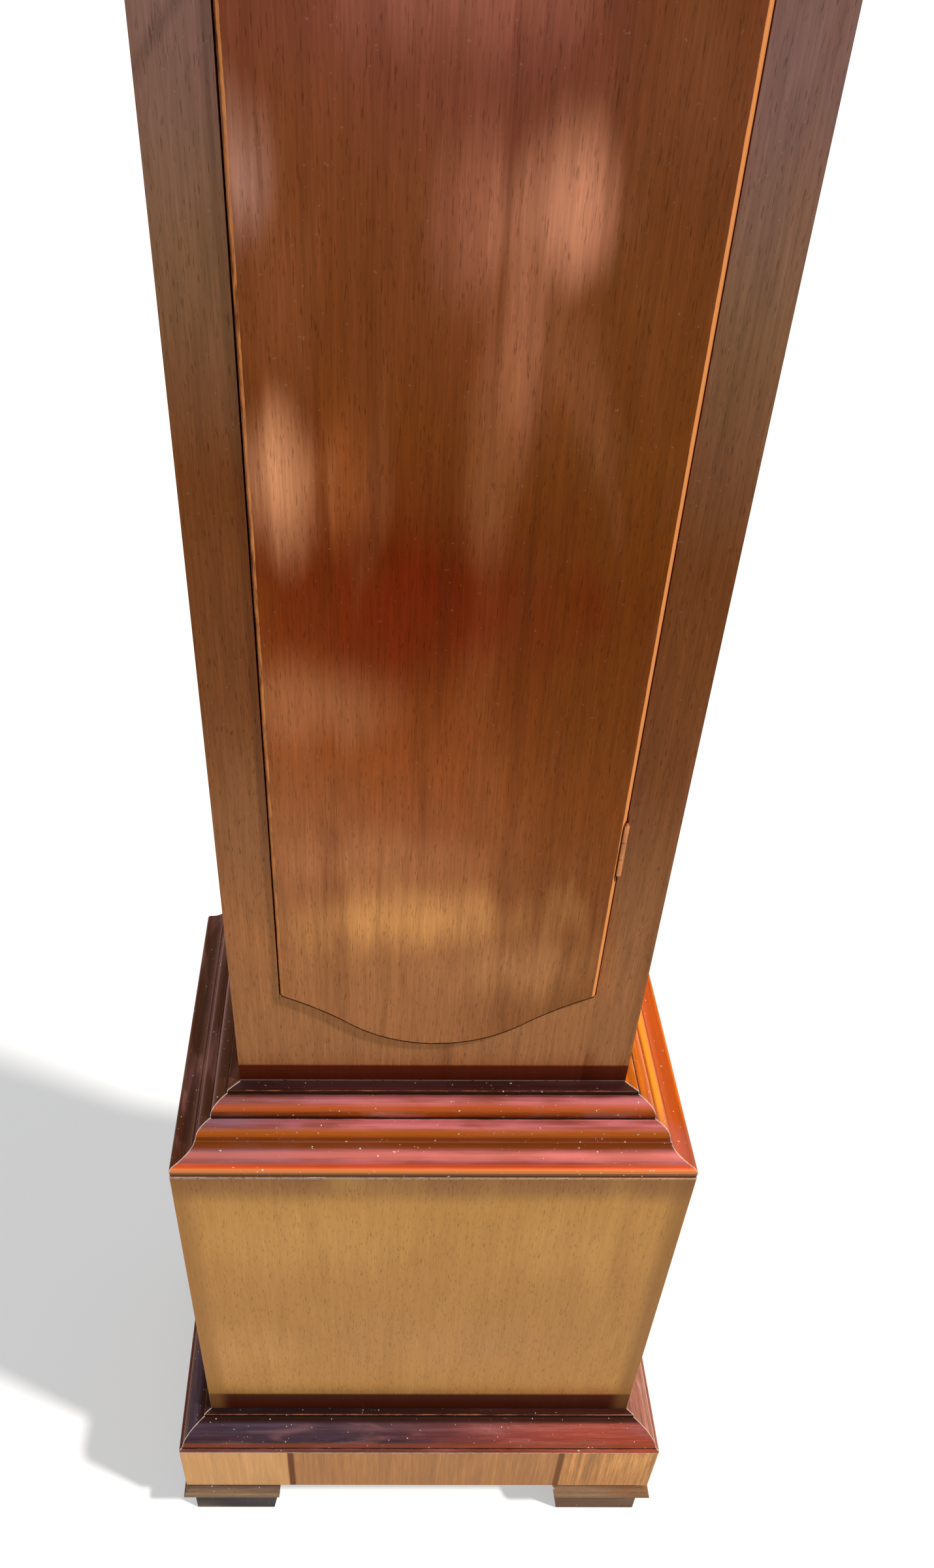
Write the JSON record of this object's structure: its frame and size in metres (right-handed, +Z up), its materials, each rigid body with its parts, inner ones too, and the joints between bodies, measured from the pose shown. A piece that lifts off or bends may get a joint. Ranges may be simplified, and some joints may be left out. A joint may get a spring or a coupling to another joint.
{
  "type": "grandmother clock",
  "caption": "Small mahogany longcase clock with serpentine door, moulded waist and plinth, bracket feet, break-arch hood, and a weight-driven pendulum movement.",
  "frame": {"origin": "centre of the bounding box at floor level", "axes": "+X to the clock's right seen from the front, +Y from the front to the back, +Z up; the dial and the door face -Y"},
  "size_m": [0.3956, 0.2568, 1.7505],
  "materials": {
    "mahogany_panel": "high-gloss french polish, straight fine grain",
    "mahogany_moulding": "gloss polish, worn and dusty along the edges",
    "dark_foot": "dull, dark and dusty",
    "inner_wood": "unpolished",
    "case_brass": "satin",
    "dial_brass": "satin",
    "silvered": "silvered, fine satin",
    "movement_brass": "polished",
    "blued_steel": "blued, glossy",
    "steel": "polished",
    "bob_brass": "polished",
    "clear_glass": "clear, gloss",
    "gut_line": "satin"
  },
  "bodies": {
    "case": {"backboard": "inner_wood", "trunk_side_left": "mahogany_panel", "trunk_side_right": "mahogany_panel", "trunk_stiles": "mahogany_panel", "trunk_top_rail": "mahogany_panel", "trunk_bottom_rail": "mahogany_panel", "base_front": "mahogany_panel", "base_side_left": "mahogany_panel", "base_side_right": "mahogany_panel", "base_floor": "inner_wood", "plinth_boards": "mahogany_panel", "plinth_moulding": "mahogany_moulding", "waist_moulding": "mahogany_moulding", "throat_moulding": "mahogany_moulding", "bracket_feet": "dark_foot", "glue_blocks": "inner_wood", "seatboard": "inner_wood", "trunk_hinge_leaves": "case_brass", "dial_plate": "dial_brass", "chapter_ring": "silvered", "dial_spandrels": "dial_brass", "front_plate": "movement_brass", "back_plate": "movement_brass", "plate_pillars": "movement_brass", "back_cock": "movement_brass", "weight_line": "gut_line"},
    "door": {"trunk_door": "mahogany_panel", "door_hinge_leaves": "case_brass", "door_lock": "case_brass", "escutcheon": "case_brass"},
    "bolt": {"lock_bolt": "steel"},
    "key": {"door_key": "case_brass"},
    "hood": {"hood_side_left": "mahogany_panel", "hood_side_right": "mahogany_panel", "hood_rail": "mahogany_moulding", "hood_mask": "inner_wood", "hood_top": "mahogany_panel", "hood_head": "mahogany_panel", "hood_cornice": "mahogany_moulding", "hood_hinge_leaves": "case_brass"},
    "hood_door": {"hood_door": "mahogany_panel", "hood_glass": "clear_glass", "hood_columns": "mahogany_moulding", "hood_knob": "case_brass", "hood_door_leaves": "case_brass"},
    "barrel": {"going_barrel": "movement_brass"},
    "great": {"great_wheel": "movement_brass"},
    "centre": {"centre_wheel": "movement_brass", "minute_hand": "blued_steel"},
    "third": {"third_wheel": "movement_brass"},
    "escape": {"escape_wheel": "movement_brass"},
    "anchor": {"pallets": "steel"},
    "minute": {"minute_wheel": "movement_brass"},
    "hour": {"hour_wheel": "movement_brass", "hour_hand": "blued_steel"},
    "pendulum": {"pendulum_rod": "steel", "pendulum_bob": "bob_brass"},
    "weight": {"weight": "bob_brass", "weight_stirrup": "movement_brass"},
    "pulley": {"weight_pulley": "movement_brass"}
  },
  "joints": [
    {"name": "door_swing", "type": "hinge", "parent": "case", "child": "door", "pos_m": [0.0954, -0.0578, 0.892], "axis": [0, 0, 1], "range_deg": [0, 110]},
    {"name": "key_turn", "type": "hinge", "parent": "door", "child": "key", "pos_m": [-0.078, -0.0556, 1.132], "axis": [0, 1, 0], "range_deg": [0, 90]},
    {"name": "bolt_throw", "type": "slide", "parent": "door", "child": "bolt", "axis": [-1, 0, 0], "range_m": [0, 0.0101]},
    {"name": "hood_draw", "type": "slide", "parent": "case", "child": "hood", "axis": [0, -1, 0], "range_m": [0, 0.26]},
    {"name": "hood_door_swing", "type": "hinge", "parent": "hood", "child": "hood_door", "pos_m": [0.1618, -0.07285, 1.4835], "axis": [0, 0, 1], "range_deg": [0, 100]},
    {"name": "minute_arbor", "type": "hinge", "parent": "case", "child": "centre", "pos_m": [0, 0.0044, 1.4835], "axis": [0, 1, 0], "continuous": true},
    {"name": "great_wheel_turn", "type": "hinge", "parent": "case", "child": "great", "pos_m": [0, 0.0044, 1.4367], "axis": [0, 1, 0], "continuous": true},
    {"name": "third_arbor", "type": "hinge", "parent": "case", "child": "third", "pos_m": [0.01488, 0.0044, 1.50384], "axis": [0, 1, 0], "continuous": true},
    {"name": "escape_arbor", "type": "hinge", "parent": "case", "child": "escape", "pos_m": [0, 0.0044, 1.5195], "axis": [0, 1, 0], "continuous": true},
    {"name": "minute_wheel_turn", "type": "hinge", "parent": "case", "child": "minute", "pos_m": [-0.02, -0.0356, 1.4835], "axis": [0, 1, 0], "continuous": true},
    {"name": "hour_pipe", "type": "hinge", "parent": "case", "child": "hour", "pos_m": [0, -0.0356, 1.4835], "axis": [0, 1, 0], "continuous": true},
    {"name": "weight_rise", "type": "slide", "parent": "case", "child": "weight", "axis": [0, 0, 1], "range_m": [0, 0.6], "deforming": ["weight_line"]},
    {"name": "barrel_turn", "type": "hinge", "parent": "case", "child": "barrel", "pos_m": [0, 0.0044, 1.4367], "axis": [0, 1, 0], "range_deg": [0, 5620]},
    {"name": "pulley_turn", "type": "hinge", "parent": "weight", "child": "pulley", "pos_m": [0.00945, 0.0064, 0.7406], "axis": [0, 1, 0], "range_deg": [0, 1570]},
    {"name": "pendulum_swing", "type": "hinge", "parent": "case", "child": "pendulum", "pos_m": [0, 0.0664, 1.54354], "axis": [0, 1, 0], "range_deg": [-2.5, 2.5]},
    {"name": "anchor_rock", "type": "hinge", "parent": "case", "child": "anchor", "pos_m": [0, 0.0044, 1.54354], "axis": [0, 1, 0], "range_deg": [-2.5, 2.5]}
  ],
  "couplings": [
    {"joint": "bolt_throw", "follows": "key_turn", "m_per_rad": 0.0064},
    {"joint": "great_wheel_turn", "follows": "minute_arbor", "ratio": -0.083333},
    {"joint": "third_arbor", "follows": "minute_arbor", "ratio": -8.3333},
    {"joint": "escape_arbor", "follows": "minute_arbor", "ratio": 66.667},
    {"joint": "minute_wheel_turn", "follows": "minute_arbor", "ratio": -0.33333},
    {"joint": "hour_pipe", "follows": "minute_arbor", "ratio": 0.083333},
    {"joint": "barrel_turn", "follows": "weight_rise", "rad_per_m": 159.36},
    {"joint": "pulley_turn", "follows": "weight_rise", "rad_per_m": 45.455},
    {"joint": "anchor_rock", "follows": "pendulum_swing", "ratio": 1}
  ]
}
